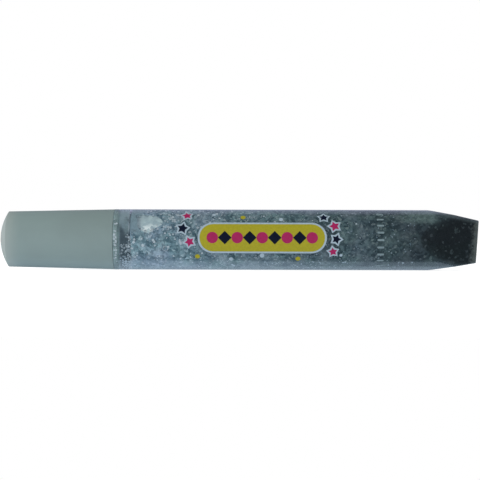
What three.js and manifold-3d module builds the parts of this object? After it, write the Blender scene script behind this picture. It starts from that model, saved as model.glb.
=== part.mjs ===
// Glitter glue tube: a clear sleeve with a pinched tail, a threaded head with a nozzle, and a screw cap.
// Millimetres, +Z up. The tube lies along X on one flat facet, with its cap at -X and its tail at +X.
import * as THREE from 'three';
import { mergeVertices } from 'three/addons/utils/BufferGeometryUtils.js';
import Module from 'manifold-3d';

// Whole object
const overallLength = 115.05;
const facets = 40;

// Clearances between pieces
const pressClearance = 0.2;
const threadClearance = 0.3;
const swivelClearance = 0.3;
const seamGap = 0.2;
const gelClearance = 0.25;

// Sleeve
const sleeveDiameter = 14.5;
const sleeveWall = 0.8;

// Pinched tail
const facetRun = 14.75;
const facetSlope = 0.41;
const upperTaperRun = 12.2;
const upperTaperSlope = 0.207;
const lowerTaperRun = 12.2;
const lowerTaperSlope = 0.153;
const endSkewSlope = 0.07;
const weldLength = 1;

// Head plug
const flangeThickness = 1;
const skirtLength = 3.1;
const skirtWall = 1;
const skirtChamfer = 0.4;
const webThickness = 0.8;
const neckLength = 8;
const neckWall = 1.2;
const neckChamfer = 0.4;

// Screw thread, right-handed
const threadPitch = 3;
const threadHeight = 0.6;
const threadBase = 1.3;
const threadCrest = 0.6;
const neckThreadStart = 1.6;
const neckThreadTurns = 1.7;
const capThreadStart = 1.3;
const capThreadTurns = 1.5;
const threadFade = 0.2;
const threadEndRise = 0.05;
const threadRootDepth = 0.25;

// Nozzle tip
const collarLength = 5;
const nozzleWall = 0.9;
const shoulderSetback = 0.5;
const shoulderThickness = 0.8;
const coneBaseDiameter = 5.8;
const coneLength = 9;
const tipDiameter = 2.5;
const tipChamfer = 0.25;
const orificeDiameter = 1.3;
const orificeLength = 2.5;

// Cap
const capLength = 27.3;
const capRimSetback = 0.03;
const capRimWall = 0.92;
const capDraft = 0.55;
const domeRise = 2;
const domeSteps = 7;
const capEdgeRadius = 0.4;
const capEdgeSteps = 3;
const capTopWall = 1.2;
const ceilingSteps = 3;
const capEndWall = 1;
const capThreadDepth = 8.2;
const capRootStep = 0.25;
const rimChamfer = 0.2;

// Post inside the cap, which holds the seal plug's stem
const postDiameter = 5.6;
const postRoot = 0.6;
const lipLength = 0.8;
const lipBore = 2.3;
const socketBore = 3.1;

// Seal plug
const hoodWall = 0.7;
const hoodDepth = 1.6;
const plugDisc = 1;
const pinLength = 2;
const stemHeadDiameter = 2.5;
const stemHeadLength = 0.9;
const pinTaper = 0.1;

// Sizes that follow from those above. Heights run from the sleeve's mouth towards the cap's end.
const sleeveRadius = sleeveDiameter / 2;
const boreRadius = sleeveRadius - sleeveWall;
const capRimRadius = sleeveRadius - capRimSetback;
const capEndRadius = capRimRadius - capDraft;
const capRootRadius = capRimRadius - capRimWall;
const neckRadius = capRootRadius - threadClearance - threadHeight;
const neckBoreRadius = neckRadius - neckWall;
const neckMouth = flangeThickness + neckLength;
const nozzleShoulderTop = neckMouth + shoulderThickness;
const nozzleTop = nozzleShoulderTop + coneLength;
const capRim = flangeThickness + seamGap;
const capApex = capRim + capLength;
const domeRadius = (capEndRadius * capEndRadius + domeRise * domeRise) / (2 * domeRise);
const domeCentre = capApex - domeRadius;
const sleeveLength = overallLength - capApex;
const tailEnd = -sleeveLength;
const skirtRadius = boreRadius - pressClearance;
const skirtInner = skirtRadius - skirtWall;
const neckThreadFoot = flangeThickness + neckThreadStart;
const axisHeight = sleeveRadius * Math.cos(Math.PI / facets);
const mouthX = capApex - overallLength / 2;

const wasm = await Module();
wasm.setup();

// A closed geometry as a solid that can be joined and cut
function solidOf(geometry) {
  const bare = geometry.clone();
  bare.deleteAttribute('normal');
  bare.deleteAttribute('uv');
  const merged = mergeVertices(bare, 1e-4);
  const index = merged.index.array;
  const triangles = [];
  for (let i = 0; i < index.length; i += 3) {
    const [a, b, c] = [index[i], index[i + 1], index[i + 2]];
    if (a !== b && b !== c && c !== a) {
      triangles.push(a, b, c);
    }
  }
  return new wasm.Manifold(new wasm.Mesh({
    numProp: 3,
    vertProperties: new Float32Array(merged.attributes.position.array),
    triVerts: new Uint32Array(triangles),
  }));
}

// A solid as a geometry, ready for a mesh
function geometryOf(solid) {
  const mesh = solid.getMesh();
  const geometry = new THREE.BufferGeometry();
  geometry.setAttribute('position', new THREE.BufferAttribute(mesh.vertProperties, 3));
  geometry.setIndex(new THREE.BufferAttribute(mesh.triVerts, 1));
  geometry.computeVertexNormals();
  return geometry;
}

// A round piece about the axis, from [radius, height] corners that run up its outside
function turned(corners) {
  const profile = corners.map(([radius, height]) => new THREE.Vector2(radius, height));
  return new THREE.LatheGeometry(profile, facets, Math.PI / facets);
}

// A round piece with a hole along the axis: its profile closes on itself
function turnedRing(corners) {
  return turned([...corners, corners[0]]);
}

// A block with the given [height, across] outline, extruded right through the tube
function wedge(outline, acrossIsDepth) {
  const shape = new THREE.Shape(outline.map(([height, across]) => new THREE.Vector2(across, height)));
  const width = 2 * sleeveDiameter;
  const block = new THREE.ExtrudeGeometry(shape, { depth: width, bevelEnabled: false });
  block.translate(0, 0, -width / 2);
  if (!acrossIsDepth) {
    block.rotateY(-Math.PI / 2);
  }
  return block;
}

// A round bar whose tail is pinched by four slanted planes and a skewed end. Its top has its own corners.
// inset moves every plane inwards, so the same cuts shape the sleeve's hollow and the gel in it.
function taperedBar(topCorners, inset, endInset) {
  const barEnd = tailEnd - sleeveDiameter;
  const barRadius = topCorners[0][0];
  let solid = solidOf(turned([[0, barEnd], [barRadius, barEnd], ...topCorners]));
  const far = 2 * sleeveDiameter;
  const slantedCuts = [
    { run: facetRun, slope: facetSlope, side: 1, acrossIsDepth: true },
    { run: facetRun, slope: facetSlope, side: -1, acrossIsDepth: true },
    { run: upperTaperRun, slope: upperTaperSlope, side: 1, acrossIsDepth: false },
    { run: lowerTaperRun, slope: lowerTaperSlope, side: -1, acrossIsDepth: false },
  ];
  for (const { run, slope, side, acrossIsDepth } of slantedCuts) {
    const planeInset = inset * Math.sqrt(1 + slope * slope);
    const across = (height) => sleeveRadius - planeInset - slope * (tailEnd + run - height);
    const low = barEnd - far;
    const high = tailEnd + run + far;
    const outline = [[low, across(low)], [low, far], [high, far], [high, across(high)]];
    const cut = wedge(outline.map(([height, reach]) => [height, side * reach]), acrossIsDepth);
    solid = solid.subtract(solidOf(cut));
  }
  const upperCorner = sleeveRadius - upperTaperSlope * upperTaperRun;
  const endAt = (across) => tailEnd + endInset + endSkewSlope * (upperCorner - across);
  const endOutline = [
    [endAt(-far), -far],
    [endAt(far), far],
    [barEnd - far, far],
    [barEnd - far, -far],
  ];
  return solid.subtract(solidOf(wedge(endOutline, false)));
}

// A helical ridge: a trapezoid swept round the axis that rises out of the wall and sinks back at its ends
// lead is the height at which its helix starts a turn, and foot the height where the ridge itself begins.
function helicalRidge({ wallRadius, outward, lead, foot, turns }) {
  const steps = Math.round(turns * facets);
  const firstStep = Math.round(((foot - lead) / threadPitch) * facets);
  const sunkRadius = wallRadius - outward * threadRootDepth;
  const positions = [];
  for (let i = 0; i <= steps; i += 1) {
    const turn = (firstStep + i) / facets;
    const angle = 2 * Math.PI * turn + Math.PI / facets;
    const turnsToEnd = Math.min(i, steps - i) / facets;
    const rise = Math.min(1, threadEndRise + turnsToEnd / threadFade);
    const crestRadius = sunkRadius + outward * (threadRootDepth + threadHeight) * rise;
    const middle = lead + threadPitch * turn;
    const section = [
      [sunkRadius, -threadBase / 2],
      [crestRadius, -threadCrest / 2],
      [crestRadius, threadCrest / 2],
      [sunkRadius, threadBase / 2],
    ];
    for (const [radius, offset] of section) {
      positions.push(radius * Math.sin(angle), middle + offset, radius * Math.cos(angle));
    }
  }
  const index = [];
  const quad = (a, b, c, d) => {
    index.push(a, b, c, a, c, d);
  };
  for (let i = 0; i < steps; i += 1) {
    for (let side = 0; side < 4; side += 1) {
      const next = (side + 1) % 4;
      quad(4 * i + side, 4 * i + 4 + side, 4 * i + 4 + next, 4 * i + next);
    }
  }
  quad(0, 1, 2, 3);
  const last = 4 * steps;
  quad(last + 3, last + 2, last + 1, last);
  if (outward < 0) {
    index.reverse();
  }
  const geometry = new THREE.BufferGeometry();
  geometry.setAttribute('position', new THREE.Float32BufferAttribute(positions, 3));
  geometry.setIndex(index);
  return geometry;
}

// Clear sleeve, open at its mouth and welded shut at the tail
function tubeSleeve() {
  const outside = taperedBar([[sleeveRadius, 0], [0, 0]], 0, 0);
  const hollow = taperedBar([[boreRadius, sleeveWall], [0, sleeveWall]], sleeveWall, weldLength);
  return geometryOf(outside.subtract(hollow));
}

// Gel that fills the sleeve's hollow, the plug's skirt and the neck up to the nozzle's collar
function glueFill() {
  const skirtFoot = -skirtLength - gelClearance;
  const webFoot = -webThickness - gelClearance;
  const skirtFill = skirtInner - gelClearance;
  const neckFill = neckBoreRadius - gelClearance;
  const neckFillTop = neckMouth - collarLength - gelClearance;
  const corners = [
    [boreRadius - gelClearance, skirtFoot],
    [skirtFill, skirtFoot],
    [skirtFill, webFoot],
    [neckFill, webFoot],
    [neckFill, neckFillTop],
    [0, neckFillTop],
  ];
  return geometryOf(taperedBar(corners, sleeveWall + gelClearance, weldLength + gelClearance));
}

// Head plug: skirt in the sleeve, flange on its mouth and threaded neck
function headPlug() {
  const body = turnedRing([
    [skirtInner, -skirtLength],
    [skirtRadius - skirtChamfer, -skirtLength],
    [skirtRadius, -skirtLength + skirtChamfer],
    [skirtRadius, 0],
    [sleeveRadius, 0],
    [sleeveRadius, flangeThickness],
    [neckRadius, flangeThickness],
    [neckRadius, neckMouth - neckChamfer],
    [neckRadius - neckChamfer, neckMouth],
    [neckBoreRadius, neckMouth],
    [neckBoreRadius, -webThickness],
    [skirtInner, -webThickness],
  ]);
  const thread = helicalRidge({
    wallRadius: neckRadius,
    outward: 1,
    lead: neckThreadFoot,
    foot: neckThreadFoot,
    turns: neckThreadTurns,
  });
  return geometryOf(solidOf(body).add(solidOf(thread)));
}

// Nozzle tip: collar pressed into the neck, shoulder on its mouth and tapered spout
function nozzleTip() {
  const collarRadius = neckBoreRadius - pressClearance;
  const collarInner = collarRadius - nozzleWall;
  const tipRadius = tipDiameter / 2;
  const orificeRadius = orificeDiameter / 2;
  return turnedRing([
    [collarInner, neckMouth - collarLength],
    [collarRadius, neckMouth - collarLength],
    [collarRadius, neckMouth],
    [neckRadius - shoulderSetback, neckMouth],
    [neckRadius - shoulderSetback, nozzleShoulderTop],
    [coneBaseDiameter / 2, nozzleShoulderTop],
    [tipRadius, nozzleTop - tipChamfer],
    [tipRadius - tipChamfer, nozzleTop],
    [orificeRadius, nozzleTop],
    [orificeRadius, nozzleTop - orificeLength],
    [coneBaseDiameter / 2 - nozzleWall, nozzleShoulderTop],
    [collarInner, neckMouth],
  ]);
}

// Seal plug: pin for the orifice, hood over the spout's end and a stem that turns in the cap's post
function sealPlug() {
  const orificeRadius = orificeDiameter / 2;
  const discBottom = nozzleTop + swivelClearance;
  const discTop = discBottom + plugDisc;
  const hoodInner = tipDiameter / 2 + swivelClearance + hoodDepth * (coneBaseDiameter - tipDiameter) / 2 / coneLength;
  const stemRadius = lipBore / 2 - swivelClearance;
  const headBottom = discTop + lipLength + 2 * swivelClearance;
  const pinRadius = orificeRadius - swivelClearance;
  return turned([
    [0, discBottom - pinLength],
    [pinRadius - pinTaper, discBottom - pinLength],
    [pinRadius, discBottom],
    [hoodInner, discBottom],
    [hoodInner, discBottom - hoodDepth],
    [hoodInner + hoodWall, discBottom - hoodDepth],
    [hoodInner + hoodWall, discTop],
    [stemRadius, discTop],
    [stemRadius, headBottom],
    [stemHeadDiameter / 2, headBottom],
    [stemHeadDiameter / 2, headBottom + stemHeadLength],
    [0, headBottom + stemHeadLength],
  ]);
}

// Domed end of the cap, from its rounded edge up to the apex
function domedEnd() {
  const edgeCentre = capEndRadius - capEdgeRadius;
  const edgeReach = domeRadius - capEdgeRadius;
  const edgeAngle = Math.asin(edgeCentre / edgeReach);
  const edgeHeight = domeCentre + edgeReach * Math.cos(edgeAngle);
  const points = [];
  for (let i = 0; i <= capEdgeSteps; i += 1) {
    const angle = (Math.PI / 2 - edgeAngle) * (i / capEdgeSteps);
    points.push([
      edgeCentre + capEdgeRadius * Math.cos(angle),
      edgeHeight + capEdgeRadius * Math.sin(angle),
    ]);
  }
  for (let i = 1; i <= domeSteps; i += 1) {
    const angle = edgeAngle * (1 - i / domeSteps);
    points.push([domeRadius * Math.sin(angle), domeCentre + domeRadius * Math.cos(angle)]);
  }
  return points;
}

// Underside of the cap's end, parallel to its domed outside, from the post out to the side wall
function domedCeiling(fromRadius, toRadius) {
  const ceilingRadius = domeRadius - capTopWall;
  const points = [];
  for (let i = 0; i <= ceilingSteps; i += 1) {
    const radius = fromRadius + (toRadius - fromRadius) * (i / ceilingSteps);
    points.push([radius, domeCentre + Math.sqrt(ceilingRadius * ceilingRadius - radius * radius)]);
  }
  return points;
}

// Cap: drafted shell with a domed end, a thread inside its mouth and a post under its ceiling
function capShell() {
  const postMouth = nozzleTop + swivelClearance + plugDisc + swivelClearance;
  const socketTop = postMouth + lipLength + stemHeadLength + 2 * swivelClearance;
  const body = turned([
    [0, socketTop],
    [socketBore / 2, socketTop],
    [socketBore / 2, postMouth + lipLength],
    [lipBore / 2, postMouth + lipLength],
    [lipBore / 2, postMouth],
    [postDiameter / 2, postMouth],
    ...domedCeiling(postDiameter / 2 + postRoot, capEndRadius - capEndWall),
    [capRootRadius - capRootStep, capRim + capThreadDepth + capRootStep],
    [capRootRadius, capRim + capThreadDepth],
    [capRootRadius, capRim + rimChamfer],
    [capRootRadius + rimChamfer, capRim],
    [capRimRadius - rimChamfer, capRim],
    [capRimRadius, capRim + rimChamfer],
    ...domedEnd(),
  ]);
  // Half a pitch of lead puts the cap's ridge midway between the neck's
  const thread = helicalRidge({
    wallRadius: capRootRadius,
    outward: -1,
    lead: neckThreadFoot + threadPitch / 2,
    foot: capRim + capThreadStart,
    turns: capThreadTurns,
  });
  return geometryOf(solidOf(body).add(solidOf(thread)));
}

function named(name, geometry, material) {
  const mesh = new THREE.Mesh(geometry, new THREE.MeshStandardMaterial(material));
  mesh.name = name;
  return mesh;
}

const clearPlastic = { color: 0xb9c9cf, roughness: 0.12, metalness: 0, transparent: true, opacity: 0.4 };
const capPlastic = { color: 0x7f9292, roughness: 0.45, metalness: 0 };
const whitePlastic = { color: 0xdfe4e4, roughness: 0.4, metalness: 0 };
const glitterGel = { color: 0x6b7d83, roughness: 0.35, metalness: 0.4 };

const tube = new THREE.Group();
tube.add(named('tube_sleeve', tubeSleeve(), clearPlastic));
tube.add(named('head_plug', headPlug(), clearPlastic));
tube.add(named('nozzle_tip', nozzleTip(), whitePlastic));
tube.add(named('glue_fill', glueFill(), glitterGel));

const cap = new THREE.Group();
cap.add(named('cap_shell', capShell(), capPlastic));
cap.add(named('seal_plug', sealPlug(), whitePlastic));

// Every piece is modelled with the axis along +Y; this lays the axis along -X
const glueTube = new THREE.Group();
glueTube.add(tube, cap);
glueTube.rotation.z = Math.PI / 2;
glueTube.position.set(mouthX, 0, axisHeight);

export default glueTube;
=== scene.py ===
import math
import random

import bmesh
import bpy
from mathutils import Matrix, Vector


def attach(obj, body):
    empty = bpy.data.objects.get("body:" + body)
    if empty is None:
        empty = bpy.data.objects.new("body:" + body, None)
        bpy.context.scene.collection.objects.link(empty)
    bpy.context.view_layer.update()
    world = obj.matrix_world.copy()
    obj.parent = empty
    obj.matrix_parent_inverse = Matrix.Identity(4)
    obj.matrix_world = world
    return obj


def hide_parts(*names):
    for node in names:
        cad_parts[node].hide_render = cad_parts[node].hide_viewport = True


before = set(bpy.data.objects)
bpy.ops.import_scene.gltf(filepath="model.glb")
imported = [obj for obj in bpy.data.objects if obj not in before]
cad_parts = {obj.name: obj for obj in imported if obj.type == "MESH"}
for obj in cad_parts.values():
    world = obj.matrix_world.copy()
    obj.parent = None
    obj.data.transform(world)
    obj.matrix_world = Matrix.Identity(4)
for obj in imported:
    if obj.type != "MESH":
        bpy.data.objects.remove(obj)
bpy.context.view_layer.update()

# A tube of glitter glue on its side. X runs from the cap to the pinched tail, Z is up, metres.
mm = 0.001
hair = 0.01 * mm         # places nearer than this count as one
axisZ = 7.2276 * mm      # height of the tube's axis
mouthX = -29.025 * mm    # where the sleeve's open end meets the head
tailX = 57.525 * mm      # far end of the pinched tail
white = (1, 1, 1, 1)


# Small helpers for modelling

def selectNone():
    bpy.ops.object.select_all(action="DESELECT")


def selectWhole():    # in edit mode
    bpy.ops.mesh.select_all(action="SELECT")


def work(piece):
    selectNone()
    piece.select_set(True)
    bpy.context.view_layer.objects.active = piece


def edit(piece):
    work(piece)
    bpy.ops.object.mode_set(mode="EDIT")
    bpy.ops.mesh.select_mode(type="VERT")


def leave():
    bpy.ops.object.mode_set(mode="OBJECT")


def named(name):    # names the active object and its mesh
    piece = bpy.context.object
    piece.name = name
    piece.data.name = name
    return piece


def settle(piece):
    work(piece)
    bpy.ops.object.transform_apply(location=True, rotation=True, scale=True)


def pickVerts(piece, test):    # selects the vertices that pass the test
    bpy.ops.mesh.select_mode(type="VERT")
    bpy.ops.mesh.select_all(action="DESELECT")
    mesh = bmesh.from_edit_mesh(piece.data)
    for vertex in mesh.verts:
        if test(vertex):
            vertex.select = True
    mesh.select_flush(True)
    bmesh.update_edit_mesh(piece.data)


def pickFaces(piece, test):    # selects the faces whose middle passes the test
    bpy.ops.mesh.select_mode(type="FACE")
    bpy.ops.mesh.select_all(action="DESELECT")
    mesh = bmesh.from_edit_mesh(piece.data)
    for face in mesh.faces:
        face.select = test(face.calc_center_median())
    bmesh.update_edit_mesh(piece.data)


def extrudeBy(x, y, z):
    bpy.ops.mesh.extrude_region_move(TRANSFORM_OT_translate={"value": (x, y, z)})


def faceOutwards():    # in edit mode
    selectWhole()
    bpy.ops.mesh.normals_make_consistent(inside=False)


def tidyMesh(distance=0.002):    # merges doubles nearer than so many mm, then turns every face outwards
    bpy.ops.mesh.select_mode(type="VERT")
    selectWhole()
    bpy.ops.mesh.remove_doubles(threshold=distance * mm)
    faceOutwards()


def finish(piece, kind, name, **settings):    # adds a modifier and applies it
    work(piece)
    modifier = piece.modifiers.new(name, kind)
    for setting, value in settings.items():
        setattr(modifier, setting, value)
    bpy.ops.object.modifier_apply(modifier=modifier.name)


def softenEdges(piece, width, segments, angle):    # rounds edges sharper than so many degrees
    finish(piece, "BEVEL", "softEdges", width=width * mm, segments=segments, limit_method="ANGLE",
           angle_limit=math.radians(angle), use_clamp_overlap=True, miter_outer="MITER_ARC")


def smooth(piece, angle=30):
    work(piece)
    bpy.ops.object.shade_smooth_by_angle(angle=math.radians(angle))


def joinPieces(pieces):    # makes them one mesh, in the first of them
    work(pieces[0])
    for piece in pieces[1:]:
        piece.select_set(True)
    bpy.ops.object.join()


def joinSolids(piece, other):
    finish(piece, "BOOLEAN", "joined", operation="UNION", object=other, solver="EXACT")
    bpy.data.objects.remove(other)


def addObject(name, data):    # for a camera or a lamp
    made = bpy.data.objects.new(name, data)
    bpy.context.scene.collection.objects.link(made)
    return made


def height(h):    # a height above the sleeve's mouth, in mm, as a place along X
    return mouthX - h * mm


# Bends a shape drawn flat, x along the tube and z as the arc up from its front, round the axis
def bendRound(piece, base, arcRadius):
    for vertex in piece.data.vertices:
        reach = base * mm - vertex.co.y
        angle = vertex.co.z / (arcRadius * mm)
        vertex.co = (vertex.co.x, -reach * math.cos(angle), axisZ + reach * math.sin(angle))


# Draws a chain of points, each extruded from the one before, and stays in edit mode
def drawChain(name, points):
    selectNone()
    bpy.ops.mesh.primitive_plane_add(size=mm)
    piece = named(name)
    edit(piece)
    selectWhole()
    bpy.ops.mesh.merge(type="CENTER")
    bpy.ops.transform.translate(value=points[0])
    for before, after in zip(points, points[1:]):
        bpy.ops.mesh.extrude_vertices_move(TRANSFORM_OT_translate={"value": after - before})
    selectWhole()
    return piece


# A round piece: its profile is drawn point by point, as [height, radius] in mm, and spun about the axis
def turnedPiece(name, profile, sides, closed=False):
    points = [Vector((height(h), 0, axisZ + r * mm)) for h, r in profile]
    if closed:
        points.append(points[0])
    piece = drawChain(name, points)
    bpy.ops.mesh.spin(steps=sides, angle=2 * math.pi, center=(0, 0, axisZ), axis=(1, 0, 0))
    tidyMesh()
    leave()
    return piece


# Node materials

class Shade:    # a socket in a material, with arithmetic
    def __init__(self, tree, socket=None):
        self.tree = tree
        self.socket = socket

    def give(self, socket, value):    # links a node's socket to a shade, or sets its value
        if isinstance(value, Shade):
            self.tree.links.new(value.socket, socket)
        else:
            socket.default_value = value

    def node(self, kind, settings=None, values=None, output=0):
        made = self.tree.nodes.new(kind)
        for name, value in (settings or {}).items():
            setattr(made, name, value)
        for name, value in (values or {}).items():
            self.give(made.inputs[name], value)
        return Shade(self.tree, made.outputs[output])

    def maths(self, operation, *values):
        return self.node("ShaderNodeMath", {"operation": operation}, dict(enumerate(values)))

    def vectors(self, operation, values):
        return self.node("ShaderNodeVectorMath", {"operation": operation}, values)

    def __add__(self, other):
        return self.maths("ADD", self, other)

    def __radd__(self, other):
        return self.maths("ADD", other, self)

    def __sub__(self, other):
        return self.maths("SUBTRACT", self, other)

    def __rsub__(self, other):
        return self.maths("SUBTRACT", other, self)

    def __mul__(self, other):
        return self.maths("MULTIPLY", self, other)

    def __rmul__(self, other):
        return self.maths("MULTIPLY", other, self)


def newMaterial(name):
    material = bpy.data.materials.new(name)
    material.use_nodes = True
    tree = material.node_tree
    surface = tree.nodes["Principled BSDF"]
    place = Shade(tree).node("ShaderNodeTexCoord", output="Object")
    return material, surface, place


def feed(place, surface, **inputs):    # links or sets sockets of the surface shader
    for name, value in inputs.items():
        place.give(surface.inputs[name.replace("_", " ")], value)


def ramp(value, limits, unit=1):    # 0 before the first limit, 1 past the second, smooth between
    return value.node("ShaderNodeMapRange", {"interpolation_type": "SMOOTHSTEP"},
                      {"Value": value, "From Min": limits[0] * unit, "From Max": limits[1] * unit})


def alongTube(x, limits):    # the same, with heights above the sleeve's mouth in mm as its limits
    return ramp(x, [height(h) for h in limits])


def aboveAxis(z, limits):    # the same, with heights above the axis in mm
    return ramp(z, [axisZ + up * mm for up in limits])


def between(share, low, high):    # goes from low to high as a share or a mask goes from 0 to 1
    return low + (high - low) * share


def blendColor(factor, first, second, mode="MIX"):    # sockets 6 and 7 of a Mix node are its colours
    anySocket = next(value for value in (factor, first, second) if isinstance(value, Shade))
    return anySocket.node("ShaderNodeMix", {"data_type": "RGBA", "blend_type": mode},
                          {0: factor, 6: first, 7: second}, output=2)


def tinted(color, tint):
    return blendColor(1, color, tint, "MULTIPLY")


def noise(place, size, detail=2, rough=0.5):    # size of a lump in mm
    return place.node("ShaderNodeTexNoise", values={"Vector": place, "Scale": 1 / (size * mm),
                                                    "Detail": detail, "Roughness": rough})


def patches(place, size, detail=2, rough=0.5):    # noise drawn apart into soft patches
    return ramp(noise(place, size, detail, rough), (0.35, 0.65))


def cells(place, size):    # a random colour for each cell, size in mm
    return place.node("ShaderNodeTexVoronoi", values={"Vector": place, "Scale": 1 / (size * mm)},
                      output="Color")


def attribute(place, name):
    return place.node("ShaderNodeAttribute", {"attribute_name": name}, output="Fac")


def axes(place):
    split = place.node("ShaderNodeSeparateXYZ", values={0: place})
    return [Shade(place.tree, split.socket.node.outputs[i]) for i in range(3)]


def bump(place, value, depth):    # depth in mm
    return place.node("ShaderNodeBump", values={"Height": value, "Distance": depth * mm})


def srgb(red, green, blue):    # a screen colour from 0 to 255 as a shader colour
    def linear(value):
        value /= 255
        return value / 12.92 if value <= 0.04045 else ((value + 0.055) / 1.055) ** 2.4
    return (linear(red), linear(green), linear(blue), 1)


# Camera

camera = {"place": (0.073 * mm, -326 * mm, 7.145 * mm), "lens": 101.3, "sensor": 36, "roll": 0.17}
cameraData = bpy.data.cameras.new("camera")
cameraData.lens = camera["lens"]
cameraData.sensor_width = camera["sensor"]
cameraObject = addObject("camera", cameraData)
turn = Matrix.Rotation(math.radians(-camera["roll"]), 4, "Y")
cameraObject.matrix_world = Matrix.Translation(camera["place"]) @ turn @ Matrix.Rotation(math.pi / 2, 4, "X")
bpy.context.scene.camera = cameraObject
print("camera placed")


# Materials of the tube. A pair of numbers is a stretch over which something changes. In mm, "Along" is above
# the sleeve's mouth, "Up" is above the axis, and "From" and "To" are places along X.

# Clear moulded plastic, with the faint unevenness of an extruded wall. Its coat is the wall's inner face.
clearPlastic = {"color": (0.93, 0.97, 1.0, 1), "roughness": 0.03, "ior": 1.47, "innerFace": 0.8,
                "innerRoughness": 0.04, "waveSize": 6, "waveDepth": 0.02}


def makeClear(look):
    material, surface, place = newMaterial("clearPlastic")
    waves = noise(place, look["waveSize"], detail=1)
    feed(place, surface, Base_Color=look["color"], Roughness=look["roughness"], IOR=look["ior"],
         Transmission_Weight=1.0, Coat_Weight=look["innerFace"], Coat_Roughness=look["innerRoughness"],
         Normal=bump(place, waves, look["waveDepth"]))
    return material


clearMaterial = makeClear(clearPlastic)

# The head is natural plastic, which lets a little light through and blurs it. The neck is clean, the flange
# and skirt are cloudy. Light is painted on the skirt's top as a paler colour, and on the top of its lip
# against the shade of its groove. Glue darkens the skirt in patches, and painted shade darkens it most
# of all low down.
headPlastic = {
    "color": srgb(147, 174, 175), "neck": srgb(158, 177, 178), "skirt": srgb(146, 171, 181),
    "skirtLitTop": srgb(164, 188, 196), "lip": srgb(184, 202, 209), "cloudy": srgb(122, 145, 148),
    "glueAndShade": srgb(70, 88, 97), "roughness": 0.24, "ior": 1.5, "through": 0.3, "grainSize": 0.6,
    "grainDepth": 0.012, "flangeAlong": (1.8, 0.9), "skirtAlong": (-0.2, -0.8), "cloudSize": 2.0,
    "neckClouds": 0.12, "topUp": (3.0, 5.0), "topShare": 0.8, "lipAlong": (-2.55, -2.75), "lipUp": (1, 2),
    "smearSize": 2.6, "smears": (0.45, 0.8), "smearAlong": (-0.35, -0.9), "smearShare": 0.9,
    "lowUp": (0.6, 3.2), "lowShade": 0.35,
}


def makeHead(look):
    material, surface, place = newMaterial("headPlastic")
    x, _, z = axes(place)
    clouds = patches(place, look["cloudSize"], detail=3, rough=0.6)
    onFlange = alongTube(x, look["flangeAlong"])
    onSkirt = alongTube(x, look["skirtAlong"])
    color = blendColor(onSkirt, blendColor(onFlange, look["neck"], look["color"]), look["skirt"])
    cloudShare = (1 - clouds) * between(onFlange, look["neckClouds"], 1)
    color = blendColor(cloudShare, color, look["cloudy"])
    # painted light: the skirt's top is paler
    onTop = look["topShare"] * onSkirt * aboveAxis(z, look["topUp"])
    color = blendColor(onTop, color, look["skirtLitTop"])
    # painted light on the top of the skirt's lip, against the shade of its groove
    onLip = alongTube(x, look["lipAlong"]) * aboveAxis(z, look["lipUp"])
    color = blendColor(onLip, color, look["lip"])
    # glue smears in patches, with painted shade darkening the skirt most of all low down
    low = 1 - aboveAxis(z, look["lowUp"])
    smearAndShade = noise(place, look["smearSize"], detail=3, rough=0.6) + look["lowShade"] * low
    smearAndShade = ramp(smearAndShade, look["smears"]) * alongTube(x, look["smearAlong"])
    color = blendColor(smearAndShade * look["smearShare"], color, look["glueAndShade"])
    grain = noise(place, look["grainSize"])
    feed(place, surface, Base_Color=color, Roughness=look["roughness"], IOR=look["ior"],
         Transmission_Weight=look["through"], Normal=bump(place, grain, look["grainDepth"]))
    return material


headMaterial = makeHead(headPlastic)

# Planes that pinch the tail: runs in mm from its end, slopes against the axis. They cut it from a bar which
# is longer by the overrun.
tail = {"facetRun": 14.75, "facetSlope": 0.41, "taperRun": 12.2, "upperSlope": 0.207, "lowerSlope": 0.153,
        "endSkew": 0.07, "overrun": 5}

# Gel loaded with silver glitter: fine cells of flakes over soft lumps, darker towards the tail
gelLook = {
    "deep": srgb(66, 90, 102), "body": srgb(118, 143, 155), "silver": srgb(196, 216, 224),
    "fineSize": 0.5, "coarseSize": 1.05, "fineShare": 0.6, "tones": (0.2, 0.85), "shines": (0.87, 0.97),
    "shineShare": 0.8, "lumpSize": 3.0, "lumps": (0.4, 0.8), "lumpShare": 0.35, "calmUp": (-4.0, -4.8),
    "calmShare": 0.6, "calmTone": 0.5, "sheenSize": 4.5, "green": (0.95, 1.03, 0.98, 1),
    "mauve": (1.03, 0.985, 1.02, 1), "away": (0.985, 1.015, 0.955, 1), "awayFrom": (-16, 0),
    "full": 1.17, "fullAt": -22, "fadePerMm": 0.0144, "least": 0.26, "tilt": 0.6, "roughness": 0.6,
    "shineRoughness": 0.2, "shineMetal": 0.4, "gloss": 0.1,
}
# Clear gel beside the air bubble
gelPocket = {"color": srgb(106, 127, 136), "share": 0.85, "along": (-5.2, -6.4), "ragged": 1.2,
             "up": (0.9, 2.0)}
# The dark tail. Its front is ragged and bows towards the cap, and light falls on its top there.
# It is darkest on the slanted planes, which face away from the lamp: that extra dark is painted shade.
# Its weld is paler at the end, and paler strips run along the slanted planes' edges, whose stretches are
# counted from where they start.
gelTail = {
    "dark": srgb(18, 28, 29), "darkFrom": (38.0, 48), "darkRagged": 3, "bow": 1.3, "bowCurve": 0.28,
    "facing": (0.22, 0.36), "roundShare": 0.42, "planeShadeShare": 0.56, "shineLeft": 0.35,
    "endWeld": srgb(82, 89, 86), "endFrom": (55.2, 56.8), "endRagged": 0.8, "endLean": 0.1,
    "edgeStrip": srgb(104, 118, 120), "edgeShare": 0.75, "upperUp": (5.9, 7.0), "lowerDown": (6.3, 7.1),
    "lowerShare": 0.3, "edgeFrom": (-4, -0.5), "edgeFade": 0.55, "edgeFadeFrom": (2, 8),
    "glowLow": srgb(78, 98, 96), "glowHigh": srgb(112, 134, 131), "glowShare": 0.8, "glowFrom": (35, 42),
    "glowTo": (45.2, 48.4), "glowUp": (3.3, 4.9),
}


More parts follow.
